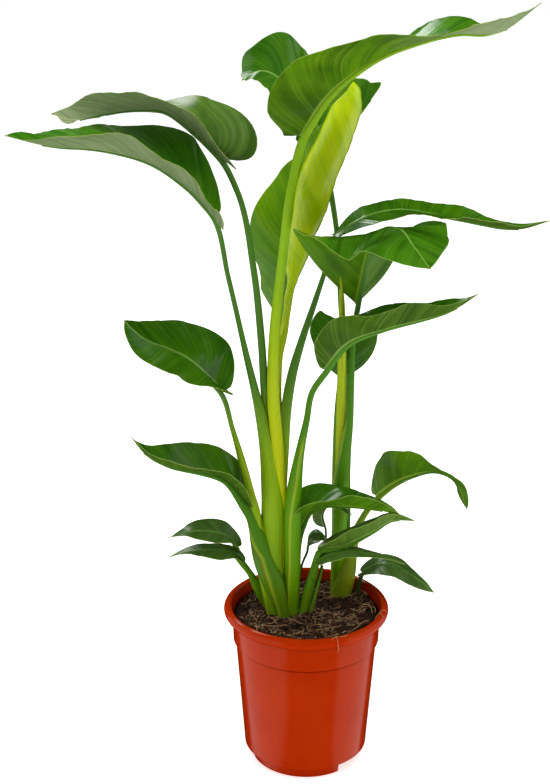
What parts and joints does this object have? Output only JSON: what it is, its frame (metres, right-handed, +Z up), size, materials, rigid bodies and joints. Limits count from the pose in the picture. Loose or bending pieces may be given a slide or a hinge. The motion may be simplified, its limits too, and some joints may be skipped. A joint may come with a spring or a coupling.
{
  "type": "potted plant",
  "caption": "Potted bird of paradise house plant with long-stalked broad leaves, sheathing stems and a round moulded nursery pot filled with soil.",
  "frame": {"origin": "the pot's axis on the plane that it stands on, within a few millimetres of the middle of the whole plant's width and depth", "axes": "+Z up along the pot's axis; -Y is the side that faces the viewer; +X to the right"},
  "size_m": [0.5764, 0.3408, 0.8838],
  "materials": {
    "pot_plastic": "satin moulded plastic, terracotta orange",
    "potting_soil": "rough fibrous peat, matt",
    "leaf_mature": "smooth leaf, glossy above and duller below",
    "leaf_young": "smooth young leaf, yellow-green and glossy",
    "leaf_small": "smooth small leaf, glossy"
  },
  "bodies": {
    "root": {"pot": "pot_plastic", "soil": "potting_soil", "leaf_top_right": "leaf_mature", "leaf_left_upper": "leaf_mature", "leaf_right_long": "leaf_mature", "leaf_left_long": "leaf_mature", "leaf_right_lower": "leaf_mature", "leaf_left_middle": "leaf_mature", "leaf_left_low": "leaf_mature", "leaf_top_back": "leaf_mature", "leaf_back_middle": "leaf_mature", "leaf_right_arching": "leaf_mature", "leaf_right_hanging": "leaf_mature", "leaf_young": "leaf_young", "leaf_spear": "leaf_young", "leaf_pair_left": "leaf_small", "leaf_low_right": "leaf_small", "leaf_pair_right": "leaf_small", "leaf_tiny_upper": "leaf_small", "leaf_tiny_lower": "leaf_small", "leaf_rim_right": "leaf_small"}
  },
  "joints": []
}
